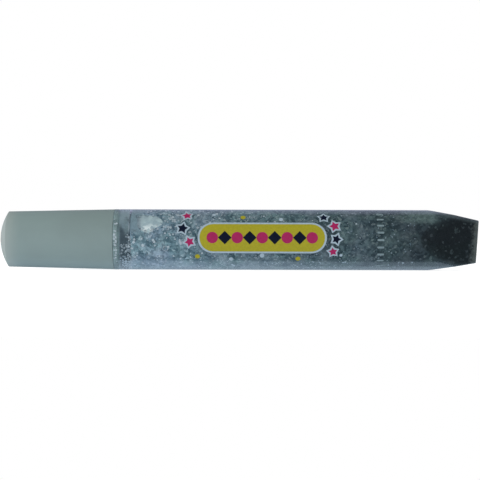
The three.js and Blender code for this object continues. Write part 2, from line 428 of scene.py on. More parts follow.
def gelBody(look, place, x, tone, shine):    # the gel's colour where it is full of light
    color = blendColor(tone, look["deep"], look["body"])
    lumps = ramp(noise(place, look["lumpSize"], detail=3, rough=0.6), look["lumps"])
    color = blendColor(lumps * look["lumpShare"], color, look["silver"])
    color = blendColor(shine * look["shineShare"], color, look["silver"])
    sheen = patches(place, look["sheenSize"])
    color = tinted(color, blendColor(sheen, look["green"], look["mauve"]))
    return tinted(color, blendColor(ramp(x, look["awayFrom"], mm), white, look["away"]))


def gelFade(look, place, x):    # less light further from the cap
    full = look["full"] - (x * (1 / mm) - look["fullAt"]) * look["fadePerMm"]
    share = full.maths("MAXIMUM", full, look["least"])
    return place.node("ShaderNodeCombineXYZ", values={0: share, 1: share, 2: share})


def tailShare(look, place, x, up, coarse):    # how much of the dark shows, most on the side planes
    facing = axes(place.node("ShaderNodeTexCoord", output="Normal"))[0]
    bowed = x + (look["bow"] - look["bowCurve"] * up * up) * mm
    dark = ramp(bowed + (coarse - 0.5) * look["darkRagged"] * mm, look["darkFrom"], mm)
    # the side planes face away from the lamp, and their extra dark is painted shade
    return (look["roundShare"] + look["planeShadeShare"] * ramp(facing, look["facing"])) * dark


def paleEdges(look, x, z):    # the edges of the slanted planes, fainter towards the end
    slanted = x - (tailX - tail["taperRun"] * mm)    # how far along the planes
    upper = ramp(z - axisZ + tail["upperSlope"] * slanted, look["upperUp"], mm)
    lower = ramp(axisZ - z + tail["lowerSlope"] * slanted, look["lowerDown"], mm) * look["lowerShare"]
    fade = 1 - look["edgeFade"] * ramp(slanted, look["edgeFadeFrom"], mm)
    return ramp(slanted, look["edgeFrom"], mm) * fade * upper.maths("MAXIMUM", upper, lower)


def fleckNormal(place, fine, tilt):    # every fleck leans its own way
    middle = place.vectors("SUBTRACT", {0: fine, 1: (0.5, 0.5, 0.5)})
    lean = place.vectors("SCALE", {0: middle, "Scale": tilt})
    flat = place.node("ShaderNodeNewGeometry", output="Normal")
    return place.vectors("NORMALIZE", {0: place.vectors("ADD", {0: flat, 1: lean})})


def makeGel(look, pocket, end):
    material, surface, place = newMaterial("glitterGel")
    x, _, z = axes(place)
    up = (z - axisZ) * (1 / mm)
    fine = cells(place, look["fineSize"])
    fineTone = axes(fine)[0]
    coarse = axes(cells(place, look["coarseSize"]))[0]
    calm = look["calmShare"] * ramp(up, look["calmUp"])    # flecks are fainter along the underside
    mixed = fineTone * look["fineShare"] + coarse * (1 - look["fineShare"])
    tone = ramp(mixed, look["tones"]) * (1 - calm) + look["calmTone"] * calm
    shine = ramp(fineTone, look["shines"]) * (1 - calm)
    color = gelBody(look, place, x, tone, shine)
    inPocket = 1 - alongTube(x + (coarse - 0.5) * pocket["ragged"] * mm, pocket["along"])
    inPocket = inPocket * ramp(z - axisZ, pocket["up"], mm)
    color = blendColor(inPocket * pocket["share"], color, pocket["color"])
    color = tinted(color, gelFade(look, place, x))
    onTail = tailShare(end, place, x, up, coarse) * (1 - end["shineLeft"] * shine)
    ragged = x + (fineTone - 0.5) * end["endRagged"] * mm - (z - axisZ) * end["endLean"]
    tailColor = blendColor(ramp(ragged, end["endFrom"], mm), end["dark"], end["endWeld"])
    color = blendColor(onTail, color, tailColor)
    glow = ramp(x, end["glowFrom"], mm) * (1 - ramp(x, end["glowTo"], mm)) * ramp(up, end["glowUp"])
    color = blendColor(glow * end["glowShare"], color, blendColor(tone, end["glowLow"], end["glowHigh"]))
    color = blendColor(paleEdges(end, x, z) * end["edgeShare"], color, end["edgeStrip"])
    feed(place, surface, Base_Color=color, Metallic=shine * look["shineMetal"],
         Roughness=look["roughness"] - look["shineRoughness"] * shine,
         Normal=fleckNormal(place, fine, look["tilt"]), Specular_IOR_Level=look["gloss"])
    return material


gelMaterial = makeGel(gelLook, gelPocket, gelTail)

# Satin cap plastic with a fine moulded grain. Painted light makes it paler at its domed end, which faces
# the lamp
capLook = {"color": srgb(131, 151, 149), "shade": srgb(128, 147, 145), "cloudSize": 9,
           "domed": srgb(163, 172, 168), "domedFrom": (-57.5, -51.8), "domedShare": 0.8, "roughness": 0.55,
           "grainSize": 0.35, "grainShine": 0.15, "grainDepth": 0.012}


def makeCap(look):
    material, surface, place = newMaterial("capSatin")
    grain = noise(place, look["grainSize"], rough=0.6)
    color = blendColor(patches(place, look["cloudSize"]), look["shade"], look["color"])
    # painted light, paler towards the domed end
    towardsEnd = 1 - ramp(axes(place)[0], look["domedFrom"], mm)
    color = blendColor(look["domedShare"] * towardsEnd, color, look["domed"])
    feed(place, surface, Base_Color=color, Normal=bump(place, grain, look["grainDepth"]),
         Roughness=look["roughness"] + look["grainShine"] * (grain - 0.5))
    return material


capMaterial = makeCap(capLook)

# Natural white plastic of the nozzle and the seal
whiteLook = {"color": (0.72, 0.74, 0.73, 1), "warm": (0.66, 0.68, 0.66, 1), "cloudSize": 2.5,
             "roughness": 0.38, "grainSize": 0.25, "grainShine": 0.1, "grainDepth": 0.006, "through": 0.15,
             "throughReach": (1.2 * mm, 1.0 * mm, 0.9 * mm)}


def makeWhite(look):
    material, surface, place = newMaterial("naturalWhite")
    grain = noise(place, look["grainSize"])
    color = blendColor(patches(place, look["cloudSize"]), look["warm"], look["color"])
    feed(place, surface, Base_Color=color, Normal=bump(place, grain, look["grainDepth"]),
         Roughness=look["roughness"] + look["grainShine"] * (grain - 0.5), Subsurface_Scale=1.0,
         Subsurface_Weight=look["through"], Subsurface_Radius=look["throughReach"])
    return material


whiteMaterial = makeWhite(whiteLook)

# Printing inks: nearly flat colours, each with the slight unevenness of a screen print in a darker shade
inkLook = {"speckSize": 0.5, "specks": (0.3, 0.7), "roughness": 0.45, "speckShine": 0.1, "gloss": 0.25}
inkColors = {
    "yellow": ((166, 160, 32), (156, 150, 30)),
    "pink": ((166, 27, 90), (156, 25, 82)),
    "navy": ((3, 21, 50), (2, 17, 42)),
    "pale": ((164, 184, 196), (152, 172, 184)),
    "mark": ((126, 146, 151), (112, 132, 138)),
}


def makeInk(name, color, dark, look):
    material, surface, place = newMaterial(name)
    speck = noise(place, look["speckSize"], detail=3, rough=0.7)
    feed(place, surface, Base_Color=blendColor(ramp(speck, look["specks"]), dark, color),
         Roughness=look["roughness"] + look["speckShine"] * speck, Specular_IOR_Level=look["gloss"])
    return material


inks = {name: makeInk("ink" + name.capitalize(), srgb(*color), srgb(*dark), inkLook)
        for name, (color, dark) in inkColors.items()}
print("materials made")


# Clear sleeve and the gel in it

sleeve = {"radius": 7.25, "wall": 0.8, "sides": 144, "weld": 1.0, "edge": 0.25}


# A round bar along X with its tail pinched by four slanted planes and a skewed end, every plane moved in by
# its inset in mm
def pinchedBar(name, radius, start, sideInset=0, upperInset=0, lowerInset=0, endInset=0):
    end = tailX + tail["overrun"] * mm
    selectNone()
    bpy.ops.mesh.primitive_cylinder_add(
        vertices=sleeve["sides"], radius=radius * mm, depth=end - start,
        location=((start + end) / 2, 0, axisZ), rotation=(0, math.pi / 2, 0))
    piece = named(name)
    settle(piece)
    edit(piece)
    outer = sleeve["radius"] * mm
    facetX = tailX - tail["facetRun"] * mm
    taperX = tailX - tail["taperRun"] * mm
    cuts = [
        ((tail["facetSlope"], -1, 0), (facetX, -outer, axisZ), sideInset),
        ((tail["facetSlope"], 1, 0), (facetX, outer, axisZ), sideInset),
        ((tail["upperSlope"], 0, 1), (taperX, 0, axisZ + outer), upperInset),
        ((tail["lowerSlope"], 0, -1), (taperX, 0, axisZ - outer), lowerInset),
    ]
    for direction, place, inset in cuts:
        normal = Vector(direction).normalized()
        selectWhole()
        bpy.ops.mesh.bisect(plane_co=Vector(place) - normal * inset * mm, plane_no=normal, use_fill=True,
                            clear_outer=True)
    selectWhole()
    upperCorner = sleeve["radius"] - tail["upperSlope"] * tail["taperRun"]
    endPlace = Vector((tailX - endInset * mm, 0, axisZ + upperCorner * mm))
    bpy.ops.mesh.bisect(plane_co=endPlace, plane_no=(1, 0, -tail["endSkew"]), use_fill=True,
                        clear_outer=True)
    tidyMesh(distance=0.02)
    leave()
    return piece


sleevePiece = pinchedBar("clearSleeve", sleeve["radius"], mouthX)
hollow = pinchedBar("sleeveHollow", sleeve["radius"] - sleeve["wall"], mouthX, sleeve["wall"],
                    sleeve["wall"], sleeve["wall"], sleeve["weld"])
edit(hollow)
selectWhole()
bpy.ops.mesh.flip_normals()
leave()
joinPieces([sleevePiece, hollow])
edit(sleevePiece)
pickFaces(sleevePiece, lambda place: abs(place.x - mouthX) < hair)
bpy.ops.mesh.delete(type="FACE")
pickVerts(sleevePiece, lambda vertex: abs(vertex.co.x - mouthX) < hair)
bpy.ops.mesh.bridge_edge_loops()
bpy.ops.mesh.select_all(action="DESELECT")
leave()
softenEdges(sleevePiece, sleeve["edge"], segments=4, angle=8)
smooth(sleevePiece, angle=40)
sleevePiece.data.materials.append(clearMaterial)
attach(sleevePiece, "tube")
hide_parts("tube_sleeve")
sleevePiece.visible_shadow = False
sleevePiece.visible_diffuse = False
sleevePiece.visible_glossy = False
print("sleeve", len(sleevePiece.data.polygons))

# The gel is sunk a hair into the walls, so that it looks wetted. In the welded tail it shows right to the
# edges, and at its head it reaches through the skirt up into the neck.
gel = {"sunk": 0.02, "headHeight": -3.08, "coreRadius": 5.27, "webHeight": -0.78, "neckRadius": 4.22,
       "neckTop": 3.9, "upperInset": 0.4, "lowerInset": 0.14, "endInset": 0.12, "edge": 0.3}

gelRadius = sleeve["radius"] - sleeve["wall"] + gel["sunk"]
headX, webX, neckX = (height(gel[key]) for key in ("headHeight", "webHeight", "neckTop"))
gelPiece = pinchedBar("glitterGel", gelRadius, headX, sleeve["wall"] - gel["sunk"], gel["upperInset"],
                      gel["lowerInset"], gel["endInset"])
edit(gelPiece)
pickFaces(gelPiece, lambda place: abs(place.x - headX) < hair)
bpy.ops.mesh.inset(thickness=(gelRadius - gel["coreRadius"]) * mm)
extrudeBy(webX - headX, 0, 0)
bpy.ops.mesh.inset(thickness=(gel["coreRadius"] - gel["neckRadius"]) * mm)
extrudeBy(neckX - webX, 0, 0)
leave()
softenEdges(gelPiece, gel["edge"], segments=3, angle=8)
smooth(gelPiece, angle=40)
gelPiece.data.materials.append(gelMaterial)
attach(gelPiece, "tube")
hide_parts("glue_fill")
print("gel", len(gelPiece.data.polygons))

# Air trapped under the wall near the head: a lens drawn flat and bent round the gel. Its outline has waves,
# each with its times round, its size and its start.
bubble = {"height": -7.4, "turn": 37, "long": 4.2, "wide": 3.4, "deep": 0.2, "proud": 0.06, "segments": 64,
          "rings": 24, "waves": ((3, 0.10, 1.0), (5, 0.05, 2.4))}
# The pocket's pale colour is painted reflection, and its white flecks low down are painted glints
bubbleLook = {"pale": srgb(178, 200, 202), "soft": srgb(150, 172, 178), "bright": srgb(236, 246, 243),
              "byHead": srgb(112, 128, 138), "byHeadAlong": (-4.2, -6.8), "patchSize": 1.6, "fleckSize": 0.5,
              "rim": (0.62, 0.98), "rimRagged": 0.5, "flecks": (0.42, 0.75), "low": (0.0, 0.5),
              "glintShare": 0.72, "roughness": 0.45, "gloss": 0.2, "dentSize": 0.9, "dentDepth": 0.05}


def makeBubble(look):
    material, surface, place = newMaterial("airBubble")
    fleck = axes(cells(place, look["fleckSize"]))[0]
    toHead = 1 - alongTube(axes(place)[0], look["byHeadAlong"])
    rim = ramp(attribute(place, "outward") + (fleck - 0.5) * look["rimRagged"], look["rim"])
    patchy = patches(place, look["patchSize"], detail=3, rough=0.6)
    color = blendColor(patchy, look["soft"], look["pale"])
    color = blendColor(toHead, color, look["byHead"])
    # painted glints on the pocket's lower part
    sparkle = ramp(fleck, look["flecks"]) * ramp(attribute(place, "low"), look["low"]) * (1 - toHead)
    color = blendColor(sparkle * look["glintShare"], color, look["bright"])
    dents = noise(place, look["dentSize"])
    feed(place, surface, Base_Color=color, Roughness=look["roughness"], Alpha=1 - rim,
         Specular_IOR_Level=look["gloss"], Normal=bump(place, dents, look["dentDepth"]))
    return material


selectNone()
bpy.ops.mesh.primitive_uv_sphere_add(segments=bubble["segments"], ring_count=bubble["rings"], radius=1,
                                     rotation=(math.pi / 2, 0, 0))
bubblePiece = named("airBubble")
settle(bubblePiece)
outwards = [math.hypot(vertex.co.x, vertex.co.z) for vertex in bubblePiece.data.vertices]
lows = [-vertex.co.z for vertex in bubblePiece.data.vertices]
for name, values in (("outward", outwards), ("low", lows)):
    bubblePiece.data.attributes.new(name, "FLOAT", "POINT").data.foreach_set("value", values)
bubbleArc = math.radians(bubble["turn"]) * gelRadius * mm
for vertex in bubblePiece.data.vertices:
    x, y, z = vertex.co
    around = math.atan2(z, x)
    wave = 1 + sum(size * math.sin(times * around + start) for times, size, start in bubble["waves"])
    vertex.co = (x * wave * bubble["long"] * mm + height(bubble["height"]), y * bubble["deep"] * mm,
                 z * wave * bubble["wide"] * mm + bubbleArc)
bendRound(bubblePiece, gelRadius - bubble["deep"] + bubble["proud"], gelRadius)
smooth(bubblePiece, angle=60)
bubblePiece.data.materials.append(makeBubble(bubbleLook))
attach(bubblePiece, "tube")
print("air bubble made")


# Screw threads

# Sizes across a ridge in mm, and its steps a turn. Lap turns its ends off the wall's own corners, what is
# higher than crestFrom is its crest, and tuck is how far the crest dips into the wall at the ends.
thread = {"pitch": 3, "height": 0.6, "base": 1.3, "crest": 0.6, "root": 0.25, "steps": 64,
          "lap": math.pi / 40, "crestFrom": 0.2, "tuck": 0.1}


def spoke(angle):    # a direction out from the axis
    return Vector((0, math.sin(angle), math.cos(angle)))


def onCrest(place, direction, wallRadius, outward):    # true on the ridge's crest where it meets a spoke
    flat = Vector((0, place.y, place.z))
    along = flat.dot(direction)
    reach = (wallRadius + outward * thread["crestFrom"]) * mm
    return along > 0 and (flat - direction * along).length < 2 * hair and outward * (along - reach) > 0


# A ridge that winds round the axis from height foot, for so many turns. Its helix starts a turn at height
# lead. Outward is 1 on a neck and -1 in a bore.
def threadRidge(name, wallRadius, outward, lead, foot, turns):
    endTurn = (foot - lead) / thread["pitch"] + turns
    endHeight = lead + thread["pitch"] * endTurn
    endAngle = 2 * math.pi * endTurn + thread["lap"]
    low = wallRadius - outward * thread["root"]
    high = wallRadius + outward * thread["height"]
    section = [(low, -thread["base"] / 2), (high, -thread["crest"] / 2), (high, thread["crest"] / 2),
               (low, thread["base"] / 2)]
    points = [spoke(endAngle) * r * mm + Vector((height(endHeight + along), 0, 0)) for r, along in section]
    piece = drawChain(name, points)
    pickVerts(piece, lambda vertex: len(vertex.link_edges) == 1)    # the chain's two ends
    bpy.ops.mesh.edge_face_add()
    leave()
    steps = round(thread["steps"] * turns)
    finish(piece, "SCREW", "wound", axis="X", angle=2 * math.pi * turns, steps=steps, render_steps=steps,
           screw_offset=thread["pitch"] * turns * mm, use_merge_vertices=False)
    edit(piece)
    bpy.ops.mesh.select_all(action="DESELECT")
    bpy.ops.mesh.select_non_manifold()
    bpy.ops.mesh.edge_face_add()
    ends = [(endAngle, endHeight), (endAngle - 2 * math.pi * turns, endHeight - thread["pitch"] * turns)]
    for angle, middle in ends:
        direction = spoke(angle)
        pickVerts(piece, lambda vertex: (onCrest(vertex.co, direction, wallRadius, outward)
                                         and abs(vertex.co.x - height(middle)) < thread["base"] * mm))
        bpy.ops.transform.translate(value=direction * -outward * (thread["height"] + thread["tuck"]) * mm)
    selectWhole()
    bpy.ops.transform.translate(value=(0, 0, axisZ))
    faceOutwards()
    leave()
    return piece


# Head plug, nozzle and seal. Their profiles are in mm above the sleeve's mouth and out from the axis.

head = {"skirtEnd": -3.1, "skirtRadius": 6.47, "skirtInner": 5.25, "flange": 1.0, "webFoot": -0.8,
        "neckRadius": 5.4, "neckBore": 4.2, "neckTop": 9.0, "chamfer": 0.4, "edge": 0.12}
headPiece = turnedPiece("clearHead", [
    (head["skirtEnd"], head["skirtInner"]), (head["skirtEnd"], head["skirtRadius"] - head["chamfer"]),
    (head["skirtEnd"] + head["chamfer"], head["skirtRadius"]), (0.0, head["skirtRadius"]),
    (0.0, sleeve["radius"]), (head["flange"], sleeve["radius"]), (head["flange"], head["neckRadius"]),
    (head["neckTop"] - head["chamfer"], head["neckRadius"]),
    (head["neckTop"], head["neckRadius"] - head["chamfer"]), (head["neckTop"], head["neckBore"]),
    (head["webFoot"], head["neckBore"]), (head["webFoot"], head["skirtInner"])], sides=96, closed=True)
headThread = threadRidge("headThread", head["neckRadius"], outward=1, lead=2.6, foot=2.6, turns=1.7)
joinSolids(headPiece, headThread)
softenEdges(headPiece, head["edge"], segments=2, angle=35)
smooth(headPiece)
headPiece.data.materials.append(headMaterial)
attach(headPiece, "tube")
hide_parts("head_plug")
headPiece.visible_shadow = False
print("head", len(headPiece.data.polygons))

nozzle = {"collarFoot": 4.0, "collarRadius": 4.0, "wall": 0.9, "mouth": 9.0, "shoulderRadius": 4.9,
          "shoulderTop": 9.8, "coneRadius": 2.9, "tip": 18.8, "tipRadius": 1.25, "chamfer": 0.25,
          "orifice": 0.65, "orificeLong": 2.5, "edge": 0.1}
nozzlePiece = turnedPiece("nozzleTip", [
    (nozzle["collarFoot"], nozzle["collarRadius"] - nozzle["wall"]),
    (nozzle["collarFoot"], nozzle["collarRadius"]), (nozzle["mouth"], nozzle["collarRadius"]),
    (nozzle["mouth"], nozzle["shoulderRadius"]), (nozzle["shoulderTop"], nozzle["shoulderRadius"]),
    (nozzle["shoulderTop"], nozzle["coneRadius"]), (nozzle["tip"] - nozzle["chamfer"], nozzle["tipRadius"]),
    (nozzle["tip"], nozzle["tipRadius"] - nozzle["chamfer"]), (nozzle["tip"], nozzle["orifice"]),
    (nozzle["tip"] - nozzle["orificeLong"], nozzle["orifice"]),
    (nozzle["shoulderTop"], nozzle["coneRadius"] - nozzle["wall"]),
    (nozzle["mouth"], nozzle["collarRadius"] - nozzle["wall"])], sides=64, closed=True)
softenEdges(nozzlePiece, nozzle["edge"], segments=3, angle=25)
smooth(nozzlePiece)
nozzlePiece.data.materials.append(whiteMaterial)
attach(nozzlePiece, "tube")
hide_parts("nozzle_tip")

seal = {"pinFoot": 17.1, "pinRadius": 0.35, "pinTaper": 0.1, "disc": 19.1, "discTop": 20.1,
        "hoodInner": 1.843, "hoodWall": 0.7, "hoodFoot": 17.5, "stemRadius": 0.85, "stemTop": 21.5,
        "headRadius": 1.25, "headTop": 22.4, "edge": 0.08}
hoodOuter = seal["hoodInner"] + seal["hoodWall"]
sealPiece = turnedPiece("sealPlug", [
    (seal["pinFoot"], 0), (seal["pinFoot"], seal["pinRadius"] - seal["pinTaper"]),
    (seal["disc"], seal["pinRadius"]), (seal["disc"], seal["hoodInner"]),
    (seal["hoodFoot"], seal["hoodInner"]), (seal["hoodFoot"], hoodOuter), (seal["discTop"], hoodOuter),
    (seal["discTop"], seal["stemRadius"]), (seal["stemTop"], seal["stemRadius"]),
    (seal["stemTop"], seal["headRadius"]), (seal["headTop"], seal["headRadius"]),
    (seal["headTop"], 0)], sides=48)
softenEdges(sealPiece, seal["edge"], segments=2, angle=30)
smooth(sealPiece)
sealPiece.data.materials.append(whiteMaterial)
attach(sealPiece, "seal")
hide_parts("seal_plug")
print("nozzle and seal made")


# Screw cap

cap = {"rim": 1.08, "apex": 28.5, "rimRadius": 7.22, "endRadius": 6.67, "domeRise": 2.0, "domeSteps": 14,
       "topWall": 1.2, "ceilingAt": (3.4, 4.1, 4.8, 5.67), "rootRadius": 6.3, "rootEnd": 8.2,
       "rootChamfer": 0.25, "postMouth": 20.4, "postRadius": 2.8, "lip": 0.8, "lipRadius": 1.15,
       "socketRadius": 1.55, "socketTop": 22.7, "edge": 0.4}
domeRadius = (cap["endRadius"] ** 2 + cap["domeRise"] ** 2) / (2 * cap["domeRise"])
domeHalf = math.asin(cap["endRadius"] / domeRadius)
domeAngles = [domeHalf * (1 - i / cap["domeSteps"]) for i in range(cap["domeSteps"])]
dome = [(cap["apex"] - domeRadius + domeRadius * math.cos(angle), domeRadius * math.sin(angle))
        for angle in domeAngles]
ceilingRadius = domeRadius - cap["topWall"]    # the ceiling is parallel to the dome
ceiling = [(cap["apex"] - domeRadius + math.sqrt(ceilingRadius ** 2 - r ** 2), r) for r in cap["ceilingAt"]]
lipTop = cap["postMouth"] + cap["lip"]
rootTop = cap["rim"] + cap["rootEnd"]
capPiece = turnedPiece("capShell", [
    (cap["socketTop"], 0), (cap["socketTop"], cap["socketRadius"]), (lipTop, cap["socketRadius"]),
    (lipTop, cap["lipRadius"]), (cap["postMouth"], cap["lipRadius"]), (cap["postMouth"], cap["postRadius"]),
    *ceiling, (rootTop + cap["rootChamfer"], cap["rootRadius"] - cap["rootChamfer"]),
    (rootTop, cap["rootRadius"]), (cap["rim"], cap["rootRadius"]), (cap["rim"], cap["rimRadius"]),
    *dome, (cap["apex"], 0)], sides=128)
capThread = threadRidge("capThread", cap["rootRadius"], outward=-1, lead=4.1, foot=2.5, turns=1.5)
joinSolids(capPiece, capThread)
softenEdges(capPiece, cap["edge"], segments=5, angle=35)
smooth(capPiece)
capPiece.data.materials.append(capMaterial)
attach(capPiece, "cap")
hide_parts("cap_shell")
print("cap", len(capPiece.data.polygons))


# Printing on the sleeve

# Prints are drawn flat, x along the tube and z as the arc round its front, and then wrapped on the sleeve
printing = {"lift": 0.008, "thick": 0.018, "strip": 0.35, "rounding": 0.98, "dotCorners": 20}

# The front view that the prints are placed in, in its pixels: the axis' row, the middle column, a pixel's
# width in mm, and how near a place may come to the tube's edge, as a share of its radius
frontView = {"axisRow": 239.66, "middleColumn": 240, "pixel": 0.2413, "reach": 0.97}


def stripCut(piece):    # cuts a flat shape into narrow strips, so that it can curve
    edit(piece)
    lowest = min(vertex.co.z for vertex in piece.data.vertices)
    highest = max(vertex.co.z for vertex in piece.data.vertices)
    count = math.ceil((highest - lowest) / (printing["strip"] * mm))
    for i in range(1, count):
        selectWhole()
        bpy.ops.mesh.bisect(plane_co=(0, 0, lowest + (highest - lowest) * i / count), plane_no=(0, 0, 1))
    leave()


def wrap(piece, layer, ink):    # gives a flat shape its thickness and bends it round the sleeve
    stripCut(piece)
    edit(piece)
    selectWhole()
    extrudeBy(0, -printing["thick"] * mm, 0)
    faceOutwards()
    leave()
    bendRound(piece, sleeve["radius"] + printing["lift"] + layer * printing["thick"], sleeve["radius"])
    piece.data.materials.append(inks[ink])
    return piece


def angleUp(rise):    # the turn from the sleeve's front of a place so many mm above the axis
    return math.asin(max(-frontView["reach"], min(frontView["reach"], rise / sleeve["radius"])))


# A place in the front view as x and the arc round the sleeve. The sleeve's front is nearer than its axis, so
# a pixel covers a little less there.
def alongPixel(px, py):
    rise = (frontView["axisRow"] - py) * frontView["pixel"]
    nearer = 1 + sleeve["radius"] * mm * math.cos(angleUp(rise)) / camera["place"][1]
    aside = (px - frontView["middleColumn"]) * frontView["pixel"] * nearer
    return camera["place"][0] + aside * mm, angleUp(rise * nearer) * sleeve["radius"] * mm


def flatShape(name, corners, radius, x, arc):
    selectNone()
    bpy.ops.mesh.primitive_circle_add(vertices=corners, radius=radius * mm, fill_type="NGON",
                                      location=(x, 0, arc), rotation=(math.pi / 2, 0, 0))
    piece = named(name)
    settle(piece)
    return piece


def capsule(name, left, right, arc, half, layer, ink):
    selectNone()
    bpy.ops.mesh.primitive_plane_add(size=1, location=((left + right) / 2, 0, arc),
                                     rotation=(math.pi / 2, 0, 0))
    piece = named(name)
    piece.scale = (right - left, 2 * half * mm, 1)
    settle(piece)
    edit(piece)
    selectWhole()
    bpy.ops.mesh.bevel(offset=half * printing["rounding"] * mm, segments=10, affect="VERTICES")
    leave()
    return wrap(piece, layer, ink)


def joinPrints(pieces, name):
    joinPieces(pieces)
    named(name)
    smooth(pieces[0], angle=40)
    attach(pieces[0], "tube")


# Yellow patch with a pale border and a row of discs and diamonds, each with its corners, radius and ink
patch = {"left": 199.5, "right": 325.0, "middle": 237.6, "half": 3.35, "border": 0.45, "margin": 3.0,
         "count": 9, "motifs": (("disc", 28, 1.35, "pink"), ("diamond", 4, 1.6, "navy"))}
leftX, patchArc = alongPixel(patch["left"], patch["middle"])
rightX = alongPixel(patch["right"], patch["middle"])[0]
border = patch["border"]
patchPieces = [capsule("patchBorder", leftX - border * mm, rightX + border * mm, patchArc,
                       patch["half"] + border, 0, "pale"),
               capsule("patchYellow", leftX, rightX, patchArc, patch["half"], 1, "yellow")]
row = rightX - leftX - 2 * patch["margin"] * mm
for i in range(patch["count"]):
    x = leftX + patch["margin"] * mm + row * i / (patch["count"] - 1)
    name, corners, radius, ink = patch["motifs"][i % 2]
    patchPieces.append(wrap(flatShape(name, corners, radius, x, patchArc), 2, ink))
joinPrints(patchPieces, "printedPatch")

# Stars, each with its column and row in the front view, radius in mm, ink and turn in degrees
starShape = {"points": 5, "waist": 0.52, "edge": 0.55, "edgeWaist": 0.62}
stars = [
    (187.0, 216.0, 1.2, "pink", 10), (182.5, 228.5, 1.35, "navy", -12), (189.5, 242.0, 1.2, "pink", 25),
    (323.5, 217.5, 1.15, "navy", 0), (334.5, 226.0, 1.3, "pink", 18), (336.5, 239.0, 1.15, "navy", -20),
    (333.0, 251.5, 1.1, "pink", 8),
]


def star(name, radius, waist, x, arc, turned, layer, ink):
    piece = flatShape(name, 2 * starShape["points"], radius, x, arc)
    edit(piece)
    pickVerts(piece, lambda vertex: vertex.index % 2 == 1)    # every second corner
    bpy.ops.transform.resize(value=(waist, waist, waist), center_override=(x, 0, arc))
    selectWhole()
    bpy.ops.transform.rotate(value=math.radians(turned), orient_axis="Y", center_override=(x, 0, arc))
    leave()
    return wrap(piece, layer, ink)


starPieces = []
for px, py, radius, ink, turned in stars:
    x, arc = alongPixel(px, py)
    edge = radius + starShape["edge"]
    starPieces.append(star("starEdge", edge, starShape["edgeWaist"], x, arc, turned, 0, "pale"))
    starPieces.append(star("star", radius, starShape["waist"], x, arc, turned, 1, ink))
joinPrints(starPieces, "printedStars")

# Dots, each with its column and row in the front view, radius in mm and ink
dots = [(197.5, 256.5, 0.6, "yellow"), (243.0, 217.5, 0.6, "yellow"), (298.0, 258.5, 0.6, "yellow"),
        (214.0, 215.0, 0.45, "pale"), (281.0, 219.5, 0.5, "pale"), (262.0, 255.5, 0.55, "pale"),
        (231.0, 259.0, 0.5, "pale"), (341.0, 255.0, 0.35, "pale")]
dotPieces = [wrap(flatShape("dot", printing["dotCorners"], radius, *alongPixel(px, py)), 0, ink)
             for px, py, radius, ink in dots]
joinPrints(dotPieces, "printedDots")

# A column of plain dashes, from first to last in degrees round the front
marks = {"left": 377.5, "right": 384.5, "first": -56, "last": 56, "count": 9, "half": 0.24}
dashLeft = alongPixel(marks["left"], frontView["axisRow"])[0]
dashRight = alongPixel(marks["right"], frontView["axisRow"])[0]
dashes = []
for i in range(marks["count"]):
    angle = math.radians(marks["first"] + (marks["last"] - marks["first"]) * i / (marks["count"] - 1))
    arc = angle * sleeve["radius"] * mm
    dashes.append(capsule("dash", dashLeft, dashRight, arc, marks["half"], 0, "mark"))
joinPrints(dashes, "printedMarks")
print("prints made")


# Glitter flakes

flakeLook = {"dull": srgb(92, 116, 128), "bright": srgb(214, 230, 236), "metal": 0.35, "roughness": 0.5,
             "shine": 0.15}


def makeFlake(look):
    material, surface, place = newMaterial("silverFlake")
    tone = attribute(place, "tone")
    feed(place, surface, Base_Color=blendColor(tone, look["dull"], look["bright"]),
         Metallic=look["metal"], Roughness=look["roughness"] - look["shine"] * tone)
    return material


def shapeOf(piece):
    mesh = piece.data
    return [vertex.co.copy() for vertex in mesh.vertices], [tuple(face.vertices) for face in mesh.polygons]


selectNone()
bpy.ops.mesh.primitive_cylinder_add(vertices=6, radius=1, depth=1)
flakePiece = named("glitterFlakes")
flakeShape = shapeOf(flakePiece)
selectNone()
bpy.ops.mesh.primitive_torus_add(major_segments=16, minor_segments=6, major_radius=1, minor_radius=0.17)
ringPiece = named("airRing")
ringShape = shapeOf(ringPiece)
bpy.data.objects.remove(ringPiece)

# Sizes, and reach from the axis, are in mm, tilts and turns in degrees. Tones go from 0, dull, to 1, bright.
flakes = {"count": 2400, "from": -2.5, "tailFree": 15.2, "tailLeft": 0.3, "reach": (6.42, 6.50),
          "sizes": (0.12, 0.26), "thick": 0.02, "tilt": 22, "toneBunch": 1.5, "toneFade": 0.6, "seed": 7}
# Flakes are fainter along the underside, by the cosine of their turn from the top
calmLook = {"from": 0.6, "over": 0.12, "share": 0.85, "tone": 0.42}
# No flakes between the skirt and the air bubble above the middle, or on the bubble's upper part
kept = {"to": -5.2, "above": 0.22, "bubbleShare": 0.8, "bubbleLow": -0.4}
front = 90    # degrees round the axis from the top to the printed side
dice = random.Random(flakes["seed"])
verts, faces, tones = [], [], []


def anyTurn():
    return dice.uniform(0, 2 * math.pi)


def lean(group):
    return math.radians(dice.gauss(0, group["tilt"]))


def bunched(group):    # a place along the tube, nearer the group's start the larger its bunch is
    return height(group["from"] - group["long"] * dice.random() ** group["bunch"])


def drawn(group):    # a flake's size, lean and tone
    size = dice.uniform(*group["sizes"])
    leaning = lean(group)
    return size, leaning, between(dice.random() ** group.get("toneBunch", 1), *group["tones"])


def keptClear(x, around):
    along = (x - height(bubble["height"])) / (bubble["long"] * mm)
    up = (math.radians(front) - around - math.radians(bubble["turn"])) * gelRadius / bubble["wide"]
    byHead = height(0) < x < height(kept["to"]) and math.cos(around) > kept["above"]
    onBubble = along ** 2 + up ** 2 < kept["bubbleShare"] and up > kept["bubbleLow"]
    return byHead or onBubble


